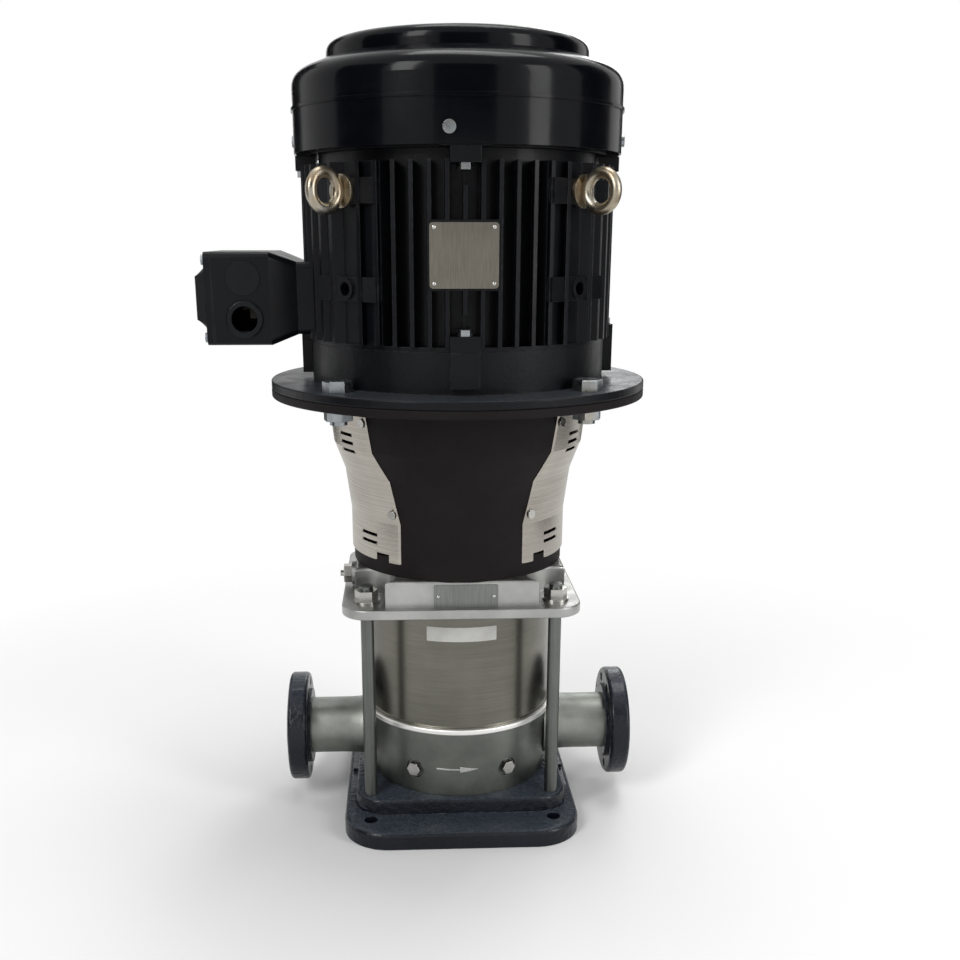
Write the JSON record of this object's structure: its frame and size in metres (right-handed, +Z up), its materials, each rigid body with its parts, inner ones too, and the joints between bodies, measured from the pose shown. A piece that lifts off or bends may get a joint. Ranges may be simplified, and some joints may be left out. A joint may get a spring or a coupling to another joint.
{
  "type": "centrifugal pump",
  "caption": "Vertical in-line multistage centrifugal pump with loose port flanges, tie rods, guarded coupling and a flange-mounted finned motor.",
  "frame": {"origin": "on the floor, under the shaft's axis, in the middle of the foot's underside", "axes": "+Z up along the shaft, -X out of the suction port, +X out of the discharge port, -Y to the front"},
  "size_m": [0.4315, 0.368, 0.756],
  "materials": {
    "black_cast_iron": "thick semi-gloss navy-black enamel over sand-cast iron",
    "cast_stainless": "bead-blasted investment-cast stainless steel",
    "brushed_sleeve": "stainless sleeve, brushed around the axis",
    "inner_stainless": "pressed and turned stainless steel",
    "rod_steel": "drawn steel bar",
    "steel_hardware": "bright stainless fasteners",
    "zinc_hardware": "blue-white zinc plated fasteners",
    "yellow_zinc": "yellow zinc plated steel",
    "rubber_seal": "black sealing rubber",
    "carbide": "lapped seal and bearing carbide",
    "ptfe": "white wear-ring plastic",
    "guard_sheet": "thin stainless sheet",
    "motor_paint": "satin black enamel over die-cast aluminium",
    "cover_paint": "gloss black enamel over pressed steel",
    "lamination": "stacked electrical steel",
    "copper_winding": "varnished copper winding",
    "bearing_steel": "ground bearing steel",
    "coupling_steel": "machined coupling casting",
    "fan_plastic": "moulded fan plastic",
    "gloss_black_plastic": "moulded black plastic",
    "matte_plastic_cream": "moulded terminal plastic"
  },
  "bodies": {
    "frame": {"foot_plate": "black_cast_iron", "port_casing": "cast_stainless", "port_collars": "cast_stainless", "drain_plugs": "steel_hardware", "outer_sleeve": "brushed_sleeve", "sleeve_seals": "rubber_seal", "pump_head": "cast_stainless", "stay_rods": "rod_steel", "stay_nuts": "steel_hardware", "inlet_guide": "inner_stainless", "guide_bush": "carbide", "stage_chamber_1": "inner_stainless", "stage_chamber_2": "inner_stainless", "stage_chamber_3": "inner_stainless", "neck_rings": "ptfe", "discharge_guide": "inner_stainless", "seal_seat": "carbide", "seal_cover": "inner_stainless", "seal_screws": "steel_hardware", "motor_stool": "black_cast_iron", "stool_screws": "steel_hardware", "guard_left": "guard_sheet", "guard_right": "guard_sheet", "guard_screws": "steel_hardware", "flange_shield": "motor_paint", "flange_bolts": "zinc_hardware", "flange_nuts": "zinc_hardware", "motor_housing": "motor_paint", "upper_shield": "motor_paint", "lug_bolts": "zinc_hardware", "stator_core": "lamination", "stator_windings": "copper_winding", "bearing_outer_races": "bearing_steel", "fan_cover": "cover_paint", "cover_screws": "zinc_hardware", "lifting_eyes": "yellow_zinc", "cable_box": "motor_paint", "entry_ring": "gloss_black_plastic", "blank_plug": "gloss_black_plastic", "box_gasket": "rubber_seal", "box_lid": "motor_paint", "lid_screws": "zinc_hardware", "terminal_block": "matte_plastic_cream"},
    "rotor": {"pump_shaft": "inner_stainless", "impeller_1": "inner_stainless", "impeller_2": "inner_stainless", "impeller_3": "inner_stainless", "shaft_spacers": "inner_stainless", "seal_spring": "inner_stainless", "seal_ring": "carbide", "coupling_front": "coupling_steel", "coupling_rear": "coupling_steel", "coupling_screws": "steel_hardware", "motor_shaft": "bearing_steel", "rotor_core": "lamination", "bearing_inner_races": "bearing_steel", "cooling_fan": "fan_plastic"},
    "suction_ring": {"suction_flange": "black_cast_iron"},
    "discharge_ring": {"discharge_flange": "black_cast_iron"},
    "vent": {"vent_plug": "steel_hardware"}
  },
  "joints": [
    {"name": "shaft_spin", "type": "hinge", "parent": "frame", "child": "rotor", "pos_m": [0, 0, 0.45], "axis": [0, 0, 1], "continuous": true},
    {"name": "suction_flange_turn", "type": "hinge", "parent": "frame", "child": "suction_ring", "pos_m": [-0.17, 0, 0.074], "axis": [-1, 0, 0], "continuous": true},
    {"name": "discharge_flange_turn", "type": "hinge", "parent": "frame", "child": "discharge_ring", "pos_m": [0.17, 0, 0.074], "axis": [1, 0, 0], "continuous": true},
    {"name": "vent_plug_turn", "type": "hinge", "parent": "frame", "child": "vent", "pos_m": [-0.113, -0.028, 0.255], "axis": [-1, 0, 0], "range_deg": [0, 360]}
  ]
}
